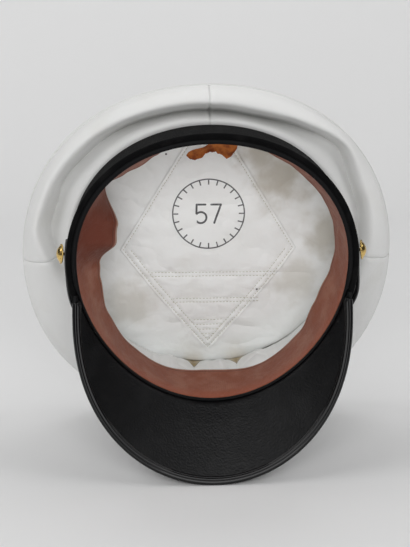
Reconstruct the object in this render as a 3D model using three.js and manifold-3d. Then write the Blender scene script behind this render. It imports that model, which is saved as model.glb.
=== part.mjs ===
// A white-topped peaked cap with a black band, a leather sweatband, a bound peak and a chin strap.
// Millimetres. Every piece is made as the cap is worn: +Z up into the crown, -Y to the front and
// +X to the wearer's left. The finished cap is then stood on its peak and crown, mouth forward.

import * as THREE from 'three';
import { mergeVertices } from 'three/addons/utils/BufferGeometryUtils.js';
import Module from 'manifold-3d';

// ---- driving dimensions ----

const GAP = 0.3; // clearance between neighbouring pieces
const ROUND = 48; // divisions round the cap
const FLOOR = 136.6; // from the middle of the mouth to the surface under peak and crown
const PRESS = 0.3; // how far soft edges are pressed flat where they rest
const SOFTNESS = 1.5; // how gradually they bend flat

const HEAD = {
  radius: 89.3,
  shape: [{ lobes: 1, size: -1.95 }, { lobes: 2, size: -0.5 }, { lobes: 3, size: 2.26 }],
};
const BAND = { height: 36, thickness: 2.2, out: 4.3, lean: 0.8 };
const WELT = { out: 4.7, up: 0.9, halfWidth: 1.5, halfHeight: 1.6 };
const EDGE_BINDING = { up: 0.9, backRoll: 1.4, frontRoll: 0.8, frontAngle: 78, taper: 12 };

const CROWN = { thickness: 1.2, seat: 3.5, seatGap: 1.1 };
const RIM = {
  radius: 131.3,
  shape: [{ lobes: 1, size: 1.2 }, { lobes: 2, size: -1.0 }, { lobes: 4, size: -1.4 }],
  centre: -12,
  height: 76,
  slope: 0.16,
};
const CROWN_TOP = { shoulder: 4, dish: 4, lift: 1.9 };
const PIPING = { radius: 1.0 };
const SEAMS = { front: 0, left: 90, back: 180, right: -90, halfGap: 0.15 };

// The slack cloth round the back of the crown comes out from the band to a ledge, dives in to a
// crease and comes forward again to a lip, from where it swells up to the rim: how far out and up
// from the band the ledge lies, where the crease is, and how far the lip leans out and hangs from it.
const CREASE_WIDTH = 1.8;
const CROWN_FOLDS = [
  { angle: -180, ledge: 4.2, rise: 0.8, out: 7.4, up: 51.5, lean: 7.5, hang: 13, swell: 2.5 },
  { angle: -160, ledge: 4, rise: 0.8, out: 6.8, up: 52, lean: 7.5, hang: 13, swell: 2.5 },
  { angle: -148, ledge: 4.5, rise: 1, out: 11.2, up: 53, lean: 7.5, hang: 13, swell: 2.5 },
  { angle: -141, ledge: 4.8, rise: 1.2, out: 14, up: 53.5, lean: 7, hang: 13, swell: 2.5 },
  { angle: -136, ledge: 5, rise: 1.5, out: 20.5, up: 55, lean: 6.5, hang: 13, swell: 2.5 },
  { angle: -129, ledge: 5, rise: 1.5, out: 17.5, up: 56, lean: 6, hang: 13, swell: 2.5 },
  { angle: -120, ledge: 4.5, rise: 1, out: 11.5, up: 54, lean: 8, hang: 9, swell: 3.5 },
  { angle: -110, ledge: 4, rise: 1.5, out: 12, up: 54, lean: 8.5, hang: 9, swell: 3.5 },
  { angle: -100, ledge: 3.2, rise: 2.2, out: 10.5, up: 53, lean: 8, hang: 8, swell: 3.8 },
  { angle: -90, ledge: 3.5, rise: 3, out: 9.5, up: 53, lean: 8, hang: 5, swell: 4 },
  { angle: -76, ledge: 5, rise: 7, out: 8.5, up: 55, lean: 9, hang: 1, swell: 3.2 },
  { angle: -62, ledge: 6, rise: 11, out: 12, up: 55, lean: 10, hang: -6, swell: 3.5 },
  { angle: 0, ledge: 6, rise: 13, out: 12, up: 58, lean: 10, hang: -9, swell: 3.5 },
  { angle: 62, ledge: 5, rise: 10.5, out: 10, up: 54, lean: 10, hang: -6, swell: 3.5 },
  { angle: 78, ledge: 5, rise: 8, out: 6, up: 55, lean: 9, hang: 0, swell: 3 },
  { angle: 90, ledge: 4, rise: 3, out: 11, up: 55.5, lean: 8, hang: 7, swell: 2.5 },
  { angle: 97, ledge: 4.2, rise: 2, out: 15, up: 56.5, lean: 9, hang: 10, swell: 2.2 },
  { angle: 104, ledge: 4.5, rise: 1.5, out: 17, up: 57.5, lean: 9.5, hang: 12, swell: 2 },
  { angle: 111, ledge: 4.5, rise: 1, out: 13, up: 57.5, lean: 10.5, hang: 13, swell: 2 },
  { angle: 119, ledge: 4.5, rise: 1, out: 16.5, up: 56.5, lean: 7, hang: 13.5, swell: 2 },
  { angle: 130, ledge: 4.5, rise: 1.5, out: 12, up: 55, lean: 9.5, hang: 13.5, swell: 2.5 },
  { angle: 144, ledge: 5, rise: 1.5, out: 11.4, up: 54, lean: 8, hang: 13.5, swell: 2.5 },
  { angle: 158, ledge: 4.5, rise: 0.8, out: 8.8, up: 52, lean: 8, hang: 13, swell: 2.5 },
  { angle: 170, ledge: 4.5, rise: 0.8, out: 8.4, up: 51.5, lean: 7.5, hang: 13, swell: 2.5 },
  { angle: 180, ledge: 4.2, rise: 0.8, out: 7.4, up: 51.5, lean: 7.5, hang: 13, swell: 2.5 },
];

const SWEATBAND = { thickness: 1.2, width: 34.5, foot: 3.0, out: 0.9 };

// How far the free edge of the sweatband leans into the head opening.
const SWEATBAND_LEAN = [
  { angle: -180, lean: 7.0 },
  { angle: -168, lean: 8.4 },
  { angle: -160, lean: 7.0 },
  { angle: -146, lean: 8.2 },
  { angle: -130, lean: 7.6 },
  { angle: -118, lean: 6.2 },
  { angle: -106, lean: 4.8 },
  { angle: -95, lean: 4.4 },
  { angle: -84, lean: 5.6 },
  { angle: -74, lean: 7.2 },
  { angle: -64, lean: 6.6 },
  { angle: -48, lean: 2.2 },
  { angle: -24, lean: 1.2 },
  { angle: 0, lean: 6.0 },
  { angle: 24, lean: 1.8 },
  { angle: 42, lean: 2.5 },
  { angle: 60, lean: 5.5 },
  { angle: 80, lean: 12.0 },
  { angle: 88, lean: 14.0 },
  { angle: 104, lean: 26.5 },
  { angle: 113, lean: 25.0 },
  { angle: 127, lean: 6.0 },
  { angle: 136, lean: 9.5 },
  { angle: 146, lean: 11.5 },
  { angle: 153, lean: 10.0 },
  { angle: 162, lean: 6.5 },
  { angle: 180, lean: 7.0 },
];

// The torn flap at the back of the sweatband: where the scrap begins and how far its edge reaches.
const FLAP = { thickness: 1.0, root: 80.9, up: 35.2, droop: 1.5 };
const FLAP_EDGE = [
  { angle: 167.5, free: 6.4, reach: 7.4 },
  { angle: 169, free: 4.8, reach: 9.6 },
  { angle: 171, free: 4.0, reach: 10.4 },
  { angle: 176, free: 3.2, reach: 9.6 },
  { angle: 177.5, free: 2.4, reach: 7.2 },
  { angle: 179.5, free: 0.6, reach: 6.2 },
  { angle: 183, free: 0.0, reach: 6.2 },
  { angle: 186, free: 0.0, reach: 7.4 },
  { angle: 189, free: 0.0, reach: 10.2 },
  { angle: 191, free: 0.0, reach: 8.0 },
  { angle: 193, free: 0.0, reach: 2.5 },
];

const LINING = { thickness: 1.0, foot: 33, footOut: 1.5, seamRadius: 92.5, seamCentre: -1.5, height: 62 };
const LINING_RISE = { front: 17, from: 10, reach: 84, back: 7, side: 4 };
const PATCH = { thickness: 1.0, gap: 0.8, halfWidth: 62.3, waist: -2, corner: 1.5 };
const PATCH_ENDS = { low: -83, high: 80, apex: 102 };

const PEAK = { halfAngle: 86, end: 82, reach: 55.1, shape: 1.36, slope: 37, flange: 0.9, board: 1.8 };
const PEAK_ROOT = { out: 2.3, up: -0.88, flangeTop: 6 };
const PEAK_BINDING = { leg: 3.8, wall: 0.9, nose: 1.6, end: 79.5, clearOfWelt: 2.8, clearOfRoot: 0.5 };

const STRAP = { thickness: 2.2, out: 6.7, low: 4.5, high: 18.5, end: 103, slackSpan: 8.5 };
const STRAP_SLACK = [{ angle: 78, size: 1.6 }, { angle: -80, size: 3.4 }]; // it stands off the band here
const BUTTON = { angle: 97, up: 12, base: 9.5, radius: 6.6, height: 3.8, tilt: 12 };
const SHANK = { radius: 1.1, length: 7.9 };

// ---- small tools ----

const wasm = await Module();
wasm.setup();
const { lerp, degToRad, radToDeg, smoothstep } = THREE.MathUtils;

// A point on a circle round the cap, by its angle from the front towards the wearer's left.
function onCircle(radius, angle, up, centre = 0) {
  return new THREE.Vector3(radius * Math.sin(angle), centre - radius * Math.cos(angle), up);
}

// A column of a table whose rows go round by angle; eased columns have no kink at a row.
function read(table, column, angle, eased = false) {
  const degrees = radToDeg(angle);
  const found = table.findIndex((row) => row.angle >= degrees);
  const next = found < 0 ? table.length - 1 : Math.max(1, found);
  const share = (degrees - table[next - 1].angle) / (table[next].angle - table[next - 1].angle);
  return lerp(table[next - 1][column], table[next][column], eased ? smoothstep(share, 0, 1) : share);
}

// A nearly round outline: its mean radius with a few cosine waves round it.
function outlineRadius({ radius, shape }, angle) {
  return shape.reduce((sum, wave) => sum + wave.size * Math.cos(wave.lobes * angle), radius);
}

function headRadius(angle) {
  return outlineRadius(HEAD, angle);
}

// Soft pieces bend flat where they rest: a point stops short of the floor by half the thickness of
// its piece, less what is pressed flat.
function settle(point, half) {
  const lowest = half - PRESS - FLOOR;
  const above = (point.y - lowest) / SOFTNESS;
  point.y = above > 8 ? point.y : lowest + SOFTNESS * Math.log1p(Math.exp(above));
  return point;
}

// Turns points and triangles into one closed body whose faces point out.
function closedBody(points, triangles) {
  const loose = new THREE.BufferGeometry().setFromPoints(points);
  loose.setIndex(triangles.flat());
  const merged = mergeVertices(loose, 1e-4);
  const index = merged.getIndex().array;
  const [a, b, c] = [new THREE.Vector3(), new THREE.Vector3(), new THREE.Vector3()];
  const kept = [];
  let volume = 0;
  for (let k = 0; k < index.length; k += 3) {
    const corners = [index[k], index[k + 1], index[k + 2]];
    if (new Set(corners).size === 3) {
      [a, b, c].forEach((corner, n) => corner.fromBufferAttribute(merged.attributes.position, corners[n]));
      volume += a.dot(b.cross(c));
      kept.push(corners);
    }
  }
  merged.setIndex((volume < 0 ? kept.map((corners) => corners.reverse()) : kept).flat());
  return merged;
}

// A wall built evenly about its middle surface, which middle(across, along) gives for two shares
// from 0 to 1. A ring closes on itself across. With a level thickness it is measured along Z.
function wall(middle, { across, along, thickness, ring = false, level = false }) {
  const columns = ring ? across : across + 1;
  const thick = typeof thickness === 'function' ? thickness : () => thickness;
  const small = 1e-4;
  const inside = (share) => Math.min(1, Math.max(0, share));
  const facing = (u, v) => {
    if (level) return new THREE.Vector3(0, 0, 1);
    const wide = ring ? [u - small, u + small] : [inside(u - small), inside(u + small)];
    const tall = [inside(v - small), inside(v + small)];
    const alongU = middle(wide[1], v).sub(middle(wide[0], v));
    const alongV = middle(u, tall[1]).sub(middle(u, tall[0]));
    return alongU.cross(alongV).normalize();
  };
  const points = [];
  for (const side of [0.5, -0.5]) {
    for (let j = 0; j <= along; j += 1) {
      for (let i = 0; i < columns; i += 1) {
        const [u, v] = [i / across, j / along];
        points.push(middle(u, v).addScaledVector(facing(u, v), side * thick(u, v)));
      }
    }
  }
  const layer = columns * (along + 1);
  const at = (side, i, j) => side * layer + j * columns + (i % columns);
  const triangles = [];
  const quad = (p, q, r, s) => triangles.push([p, q, r], [p, r, s]);
  for (let i = 0; i < across; i += 1) {
    for (let j = 0; j < along; j += 1) {
      quad(at(0, i, j), at(0, i + 1, j), at(0, i + 1, j + 1), at(0, i, j + 1));
      quad(at(1, i, j + 1), at(1, i + 1, j + 1), at(1, i + 1, j), at(1, i, j));
    }
    quad(at(1, i, 0), at(1, i + 1, 0), at(0, i + 1, 0), at(0, i, 0));
    quad(at(0, i, along), at(0, i + 1, along), at(1, i + 1, along), at(1, i, along));
  }
  for (let j = 0; j < along && !ring; j += 1) {
    quad(at(0, 0, j), at(0, 0, j + 1), at(1, 0, j + 1), at(1, 0, j));
    quad(at(1, across, j), at(1, across, j + 1), at(0, across, j + 1), at(0, across, j));
  }
  return closedBody(points, triangles);
}

// A bar swept through sections, each a loop of as many points as the flat outline of its ends,
// which runs anticlockwise.
function sweep(section, outline, { steps, ring = false }) {
  const count = outline.length;
  const rows = ring ? steps : steps + 1;
  const points = [];
  for (let i = 0; i < rows; i += 1) points.push(...section(i / steps));
  const at = (i, n) => (i % rows) * count + (n % count);
  const triangles = [];
  for (let i = 0; i < steps; i += 1) {
    for (let n = 0; n < count; n += 1) {
      const [near, far] = [[at(i, n), at(i, n + 1)], [at(i + 1, n), at(i + 1, n + 1)]];
      triangles.push([near[0], near[1], far[1]], [near[0], far[1], far[0]]);
    }
  }
  const ends = ring ? [] : THREE.ShapeUtils.triangulateShape(outline, []);
  for (const [p, q, r] of ends) {
    triangles.push([at(0, r), at(0, q), at(0, p)], [at(steps, p), at(steps, q), at(steps, r)]);
  }
  return closedBody(points, triangles);
}

// An outline of a roll: a regular polygon of unit radius.
function rollOutline(sides) {
  return Array.from({ length: sides }, (_, n) => {
    const turn = (2 * Math.PI * (n + 0.5)) / sides;
    return new THREE.Vector2(Math.cos(turn), Math.sin(turn));
  });
}

function toSolid(geometry) {
  const plain = geometry.clone();
  plain.deleteAttribute('normal');
  plain.deleteAttribute('uv');
  const merged = mergeVertices(plain, 1e-4);
  const mesh = new wasm.Mesh({
    numProp: 3,
    vertProperties: new Float32Array(merged.attributes.position.array),
    triVerts: new Uint32Array(merged.getIndex().array),
  });
  return new wasm.Manifold(mesh);
}

function toGeometry(solid) {
  const mesh = solid.getMesh();
  const geometry = new THREE.BufferGeometry();
  geometry.setAttribute('position', new THREE.BufferAttribute(mesh.vertProperties, 3));
  geometry.setIndex(new THREE.BufferAttribute(mesh.triVerts, 1));
  return geometry;
}

function cut(geometry, ...tools) {
  return toGeometry(tools.reduce((solid, tool) => solid.subtract(toSolid(tool)), toSolid(geometry)));
}

const FLOOR_BLOCK = new THREE.BoxGeometry(400, 40, 400).translate(0, -FLOOR - 20, 60);

// ---- crown ----

function rimPoint(angle, inset = 0, lift = 0) {
  const point = onCircle(outlineRadius(RIM, angle) - inset, angle, 0, RIM.centre);
  point.z = RIM.height - RIM.slope * point.y + lift;
  return point;
}

// The cloth between band and rim at one angle, as a curve of distance outward and height.
function crownSection(angle) {
  const rim = rimPoint(angle, 0.4, -PIPING.radius - 2 * GAP);
  const start = new THREE.Vector2(headRadius(angle) + CROWN.seat, BAND.height + CROWN.seatGap);
  const end = new THREE.Vector2(Math.hypot(rim.x, rim.y), rim.z);
  const fold = (column) => read(CROWN_FOLDS, column, angle);
  const shoulder = start.clone().add(new THREE.Vector2(fold('ledge'), fold('rise')));
  const crease = new THREE.Vector2(start.x + fold('out'), fold('up'));
  const near = crease.clone().setX(crease.x - CREASE_WIDTH / 2);
  const far = crease.clone().setX(crease.x + CREASE_WIDTH / 2);
  const lip = crease.clone().add(new THREE.Vector2(fold('lean'), -fold('hang')));
  const swell = new THREE.Vector2(0.8, -0.6).multiplyScalar(fold('swell'));
  const belly = lip.clone().lerp(end, 0.5).add(swell);
  return new THREE.SplineCurve([start, shoulder, near, far, lip, belly, end]);
}

function crownQuarter(from, to) {
  const first = degToRad(from + SEAMS.halfGap);
  const last = degToRad(to - SEAMS.halfGap);
  const middle = (across, along) => {
    const angle = lerp(first, last, across);
    const rim = rimPoint(angle, 0.4);
    const heading = Math.atan2(rim.x, -rim.y);
    const spot = crownSection(angle).getPoint(along);
    const base = headRadius(angle) + CROWN.seat;
    const share = (spot.x - base) / (Math.hypot(rim.x, rim.y) - base);
    return settle(onCircle(spot.x, lerp(angle, heading, share), spot.y), CROWN.thickness / 2);
  };
  return cut(wall(middle, { across: 16, along: 12, thickness: CROWN.thickness }), FLOOR_BLOCK);
}

function crownTop() {
  const middle = (across, along) => {
    const angle = lerp(-Math.PI, Math.PI, across);
    const rim = rimPoint(angle, 0.4);
    const point = onCircle(0, angle, 0, RIM.centre).lerp(rim, along);
    const arch = CROWN_TOP.shoulder * (1 - along ** 8) - CROWN_TOP.dish * (1 - along ** 2) ** 2;
    point.z = RIM.height - RIM.slope * point.y + CROWN_TOP.lift + arch;
    return settle(point, PRESS);
  };
  const size = { across: ROUND, along: 5, thickness: CROWN.thickness, ring: true, level: true };
  return cut(wall(middle, size), FLOOR_BLOCK);
}

function crownPiping() {
  const outline = rollOutline(6);
  const section = (share) => {
    const angle = lerp(-Math.PI, Math.PI, share);
    const centre = settle(rimPoint(angle), PIPING.radius);
    const outward = onCircle(1, angle, 0);
    return outline.map((spot) => {
      const point = centre.clone().addScaledVector(outward, spot.x * PIPING.radius);
      point.z += spot.y * PIPING.radius;
      return point;
    });
  };
  return cut(sweep(section, outline, { steps: ROUND, ring: true }), FLOOR_BLOCK);
}

// ---- band and its rolled edges ----

function band() {
  const middle = (across, along) => {
    const angle = lerp(-Math.PI, Math.PI, across);
    const up = lerp(WELT.up + WELT.halfHeight + GAP + 0.1, BAND.height, along);
    return onCircle(headRadius(angle) + BAND.out - BAND.lean * (up / BAND.height), angle, up);
  };
  const size = { across: ROUND, along: 1, thickness: BAND.thickness, ring: true };
  return cut(wall(middle, size), ...shankHoles());
}

// A rolled edge all round the cap, of a given half width, distance out, half height and level.
function roll(widthAt, outAt, height, up) {
  const outline = rollOutline(6);
  const section = (share) => {
    const angle = lerp(-Math.PI, Math.PI, share);
    return outline.map((spot) => {
      const radius = headRadius(angle) + outAt(angle) + spot.x * widthAt(angle);
      return onCircle(radius, angle, up + spot.y * height);
    });
  };
  return sweep(section, outline, { steps: ROUND, ring: true });
}

function bandWelt() {
  return roll(() => WELT.halfWidth, () => WELT.out, WELT.halfHeight, WELT.up);
}

// The inner roll thins out along the root of the peak, where the peak takes its room.
function edgeBinding() {
  const { backRoll, frontRoll, frontAngle, taper } = EDGE_BINDING;
  const width = (angle) => {
    const past = smoothstep(Math.abs(radToDeg(angle)), frontAngle, frontAngle + taper);
    return lerp(frontRoll, backRoll, past);
  };
  return roll(width, width, WELT.halfHeight, EDGE_BINDING.up);
}

// ---- sweatband ----

function sweatband() {
  const middle = (across, along) => {
    const angle = lerp(-Math.PI, Math.PI, across);
    const lean = read(SWEATBAND_LEAN, 'lean', angle, true);
    const rise = Math.sqrt(SWEATBAND.width ** 2 - lean ** 2);
    const radius = headRadius(angle) + SWEATBAND.out - lean * along ** 1.5;
    return onCircle(radius, angle, SWEATBAND.foot + SWEATBAND.thickness / 2 + rise * along);
  };
  return wall(middle, { across: ROUND, along: 3, thickness: SWEATBAND.thickness, ring: true });
}

function sweatbandFlap() {
  const first = degToRad(FLAP_EDGE[0].angle);
  const last = degToRad(FLAP_EDGE[FLAP_EDGE.length - 1].angle);
  const middle = (across, along) => {
    const angle = lerp(first, last, across);
    const radius = FLAP.root - lerp(read(FLAP_EDGE, 'free', angle), read(FLAP_EDGE, 'reach', angle), along);
    return onCircle(radius, angle, FLAP.up + FLAP.droop * Math.sin(Math.PI * along));
  };
  return wall(middle, { across: 26, along: 3, thickness: FLAP.thickness, level: true });
}

// ---- lining ----

// The lining hangs level under the crown, rises to the front and falls to the back.
function liningHeight(point) {
  const { front, from, reach, back, side } = LINING_RISE;
  const forward = Math.max(0, (-point.y - from) / reach);
  const backward = Math.max(0, point.y / reach);
  const sideways = point.x / reach;
  return LINING.height + front * forward ** 2 - back * backward ** 2 + side * sideways ** 2;
}

function liningTop() {
  const middle = (across, along) => {
    const angle = lerp(-Math.PI, Math.PI, across);
    const point = onCircle((LINING.seamRadius - 2 * GAP) * along, angle, 0, LINING.seamCentre * along);
    point.z = liningHeight(point);
    return point;
  };
  return wall(middle, { across: ROUND, along: 4, thickness: LINING.thickness, ring: true, level: true });
}

function liningSide() {
  const middle = (across, along) => {
    const angle = lerp(-Math.PI, Math.PI, across);
    const foot = onCircle(headRadius(angle) + LINING.footOut, angle, LINING.foot);
    const seam = onCircle(LINING.seamRadius + GAP, angle, 0, LINING.seamCentre);
    seam.z = liningHeight(seam) - GAP;
    return foot.lerp(seam, along ** 2).setZ(lerp(LINING.foot, seam.z, along));
  };
  return wall(middle, { across: ROUND, along: 2, thickness: LINING.thickness, ring: true });
}

// A diamond with its lower corner to the front; its upper corner is lost under the sweatband.
function liningPatch() {
  const { halfWidth, waist, corner } = PATCH;
  const { low, high, apex } = PATCH_ENDS;
  const below = (LINING.thickness + PATCH.thickness) / 2 + PATCH.gap;
  const middle = (across, along) => {
    const y = along < 0.5 ? lerp(low, waist, along * 2) : lerp(waist, high, along * 2 - 1);
    const share = y < waist ? (y - low) / (waist - low) : (apex - y) / (apex - waist);
    const point = new THREE.Vector3((across - 0.5) * 2 * Math.max(corner, halfWidth * share), y, 0);
    point.z = liningHeight(point) - below;
    return point;
  };
  return wall(middle, { across: 6, along: 6, thickness: PATCH.thickness, level: true });
}

// ---- peak ----

function peakReach(angle) {
  const turn = (angle / degToRad(PEAK.halfAngle)) * (Math.PI / 2);
  return PEAK.reach * Math.max(0, Math.cos(turn)) ** PEAK.shape;
}

// A point of the peak's middle surface, by its distance down the slope from the root.
function onPeak(angle, distance) {
  const slope = degToRad(PEAK.slope);
  const out = PEAK_ROOT.out + distance * Math.cos(slope);
  return onCircle(headRadius(angle) + out, angle, PEAK_ROOT.up - distance * Math.sin(slope));
}

// The upright flange between band and sweatband, which turns out into the sloping board.
function peak() {
  const flangeShare = 0.25;
  const middle = (across, along) => {
    const angle = degToRad(lerp(-PEAK.end, PEAK.end, across));
    const past = (along - flangeShare) / (1 - flangeShare);
    if (past > 0) return onPeak(angle, peakReach(angle) * past);
    const up = lerp(PEAK_ROOT.flangeTop, PEAK_ROOT.up, along / flangeShare);
    return onCircle(headRadius(angle) + PEAK_ROOT.out, angle, up);
  };
  const thickness = (across, along) => lerp(PEAK.flange, PEAK.board, smoothstep(along, flangeShare, 0.5));
  return cut(wall(middle, { across: 28, along: 4, thickness }), FLOOR_BLOCK);
}

// A strip folded over the edge of the board, longer underneath where it meets the band's corner.
function peakBinding() {
  const slope = degToRad(PEAK.slope);
  const slot = PEAK.board / 2 + GAP;
  const skin = slot + PEAK_BINDING.wall;
  const outlineFor = (under, over) => [
    [-over, slot], [GAP, slot], [GAP, -slot], [-under, -slot], [-under, -skin], [0.4, -skin],
    [PEAK_BINDING.nose, -0.45 * skin], [PEAK_BINDING.nose, 0.45 * skin], [0.4, skin], [-over, skin],
  ].map(([along, off]) => new THREE.Vector2(along, off));
  const section = (share) => {
    const angle = degToRad(lerp(-PEAK_BINDING.end, PEAK_BINDING.end, share));
    const reach = peakReach(angle);
    const under = Math.min(PEAK_BINDING.leg, reach - PEAK_BINDING.clearOfRoot);
    const over = Math.min(PEAK_BINDING.leg, reach - PEAK_BINDING.clearOfWelt);
    return outlineFor(under, over).map((spot) => {
      const point = onPeak(angle, reach + spot.x);
      const lift = spot.y * Math.sin(slope);
      return point.add(onCircle(lift, angle, spot.y * Math.cos(slope)));
    });
  };
  const outline = outlineFor(PEAK_BINDING.leg, PEAK_BINDING.leg);
  return cut(sweep(section, outline, { steps: 32 }), FLOOR_BLOCK);
}

// ---- chin strap and buttons ----

function chinStrap() {
  const end = degToRad(STRAP.end);
  const middle = (across, along) => {
    const angle = lerp(-end, end, across);
    const slack = STRAP_SLACK.reduce((sum, bow) => {
      const away = (radToDeg(angle) - bow.angle) / STRAP.slackSpan;
      return sum + bow.size * Math.exp(-(away ** 2));
    }, 0);
    return onCircle(headRadius(angle) + STRAP.out + slack, angle, lerp(STRAP.low, STRAP.high, along));
  };
  return cut(wall(middle, { across: 36, along: 1, thickness: STRAP.thickness }), ...shankHoles());
}

// A gilt dome with a shank; its axis is local Y and its back is at the origin.
function buttonShape() {
  const { radius, height } = BUTTON;
  const profile = [
    [0, -SHANK.length], [SHANK.radius, -SHANK.length], [SHANK.radius, 0], [radius - 0.5, 0], [radius, 0.5],
    [radius - 0.2, 1.1], [radius * 0.84, height * 0.58], [radius * 0.5, height * 0.88], [0, height],
  ].map(([out, up]) => new THREE.Vector2(out, up));
  return new THREE.LatheGeometry(profile, 14);
}

function buttonPlace(side) {
  const angle = degToRad(side * BUTTON.angle);
  const position = onCircle(headRadius(angle) + BUTTON.base, angle, BUTTON.up);
  return { position, rotation: new THREE.Euler(-degToRad(BUTTON.tilt), 0, angle - Math.PI, 'ZYX') };
}

function shankHoles() {
  return [-1, 1].map((side) => {
    const { position, rotation } = buttonPlace(side);
    const drill = new THREE.CylinderGeometry(SHANK.radius + GAP, SHANK.radius + GAP, 24, 10);
    drill.applyMatrix4(new THREE.Matrix4().makeRotationFromEuler(rotation));
    return drill.translate(position.x, position.y, position.z);
  });
}

// ---- materials and assembly ----

function material(color, roughness, metalness = 0) {
  return new THREE.MeshStandardMaterial({ color, roughness, metalness });
}

const WHITE_CLOTH = material(0xe6e6e3, 0.85);
const BLACK_CLOTH = material(0x131316, 0.8);
const BROWN_LEATHER = material(0x74453a, 0.6);
const TORN_LEATHER = material(0xa2562a, 0.9);
const WHITE_LINING = material(0xd3d3cf, 0.6);
const BLACK_PEAK = material(0x16171a, 0.5);
const PATENT_EDGE = material(0x0f0f12, 0.2);
const GILT = material(0xd2a94e, 0.3, 1);

const worn = new THREE.Group();

function add(name, geometry, finish) {
  const mesh = new THREE.Mesh(geometry, finish);
  mesh.name = name;
  worn.add(mesh);
  return mesh;
}

add('crown_top', crownTop(), WHITE_CLOTH);
add('crown_side_front_left', crownQuarter(SEAMS.front, SEAMS.left), WHITE_CLOTH);
add('crown_side_front_right', crownQuarter(SEAMS.right, SEAMS.front), WHITE_CLOTH);
add('crown_side_back_left', crownQuarter(SEAMS.left, SEAMS.back), WHITE_CLOTH);
add('crown_side_back_right', crownQuarter(-SEAMS.back, SEAMS.right), WHITE_CLOTH);
add('crown_piping', crownPiping(), WHITE_CLOTH);
add('band', band(), BLACK_CLOTH);
add('band_welt', bandWelt(), BLACK_CLOTH);
add('edge_binding', edgeBinding(), BLACK_CLOTH);
add('sweatband', sweatband(), BROWN_LEATHER);
add('sweatband_flap', sweatbandFlap(), TORN_LEATHER);
add('lining_top', liningTop(), WHITE_LINING);
add('lining_side', liningSide(), WHITE_LINING);
add('lining_patch', liningPatch(), WHITE_LINING);
add('peak', peak(), BLACK_PEAK);
add('peak_binding', peakBinding(), PATENT_EDGE);
add('chin_strap', chinStrap(), BLACK_PEAK);
for (const [name, side] of [['button_left', 1], ['button_right', -1]]) {
  const { position, rotation } = buttonPlace(side);
  const button = add(name, buttonShape(), GILT);
  button.position.copy(position);
  button.rotation.copy(rotation);
}

// The cap is tipped up on its front, turned mouth forward and set on the floor, centred.
worn.rotation.x = Math.PI / 2;
const turned = new THREE.Group();
turned.rotation.z = Math.PI;
turned.position.z = FLOOR;
turned.add(worn);
const peakedCap = new THREE.Group();
peakedCap.add(turned);
const box = new THREE.Box3().setFromObject(peakedCap, true);
turned.position.x -= (box.min.x + box.max.x) / 2;
turned.position.y -= (box.min.y + box.max.y) / 2;

export default peakedCap;
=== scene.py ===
import itertools

import bmesh
import bpy
import numpy as np
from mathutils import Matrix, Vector


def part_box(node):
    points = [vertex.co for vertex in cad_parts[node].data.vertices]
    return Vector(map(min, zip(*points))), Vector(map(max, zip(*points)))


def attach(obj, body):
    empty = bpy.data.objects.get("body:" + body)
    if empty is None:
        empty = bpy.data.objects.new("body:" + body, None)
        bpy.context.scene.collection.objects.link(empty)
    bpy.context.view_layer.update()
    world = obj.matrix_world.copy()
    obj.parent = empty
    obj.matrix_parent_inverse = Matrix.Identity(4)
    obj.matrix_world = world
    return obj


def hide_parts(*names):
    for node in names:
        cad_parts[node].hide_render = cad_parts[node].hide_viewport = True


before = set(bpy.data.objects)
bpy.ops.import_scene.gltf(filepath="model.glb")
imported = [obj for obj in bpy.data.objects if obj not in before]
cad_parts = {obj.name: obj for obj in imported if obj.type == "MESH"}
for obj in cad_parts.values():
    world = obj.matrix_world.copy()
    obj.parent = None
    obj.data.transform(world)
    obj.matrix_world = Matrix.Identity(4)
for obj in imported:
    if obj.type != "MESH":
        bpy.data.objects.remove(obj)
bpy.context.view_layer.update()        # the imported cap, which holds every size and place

# ---- head band ----
# A stiff strip bent round the head and covered in black ribbed cloth. The cap is built up round it,
# so other pieces follow its outline. They are drawn as worn, in millimetres: x to the wearer's left,
# y to the back, z up into the crown; stand() tips the cap on to its peak, as it rests.

HEAD = {"radius": 89.3, "waves": [(1, -1.95), (2, -0.5), (3, 2.26)]}
BAND = {"low": 2.9, "height": 36, "thickness": 2.2, "out": 4.3, "lean": 0.8}
EDGE_TURNS = np.radians([30, 70, 110, 150])

# The middle of the mouth in the frame, in millimetres. The band's far edge gives how deep it lies,
# and the lining patch how high: its front corner is this far in front of the middle, as worn.
PATCH_FRONT = 83
MOUTH_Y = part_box("band")[1].y * 1000 - BAND["height"]
MOUTH_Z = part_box("lining_patch")[0].z * 1000 + PATCH_FRONT


def stand(worn):
    """Places on the cap as worn, in millimetres, as places in the row frame, in metres."""
    x, y, z = np.moveaxis(worn, -1, 0)
    return np.stack([-x, z + MOUTH_Y, y + MOUTH_Z], -1) / 1000


def outline(shape, angle):
    """The radius of a nearly round outline: its mean with a few cosine waves round it."""
    return shape["radius"] + sum(size * np.cos(lobes * angle) for lobes, size in shape["waves"])


def around(radius, angle, up, centre=0.0):
    """Places round the cap, by angle from the front towards the wearer's left."""
    radius, angle, up = np.broadcast_arrays(radius, angle, up)
    return np.stack([radius * np.sin(angle), centre - radius * np.cos(angle), up], -1)


def grid(across, along, start=-180, end=180):
    """Angles round the cap, as a row, and shares from edge to edge, as a column."""
    whole = end - start == 360
    angles = np.radians(np.linspace(start, end, across, endpoint=not whole))
    return angles[None, :], np.linspace(0, 1, along)[:, None]


def facing_of(middle, ring=False):
    """The way that each place of a surface faces, which is out or down for rows from low to high."""
    across = np.roll(middle, -1, 1) - np.roll(middle, 1, 1) if ring else np.gradient(middle, axis=1)
    out = np.cross(across, np.gradient(middle, axis=0))
    return out / np.maximum(np.linalg.norm(out, axis=-1, keepdims=True), 1e-9)


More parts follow.
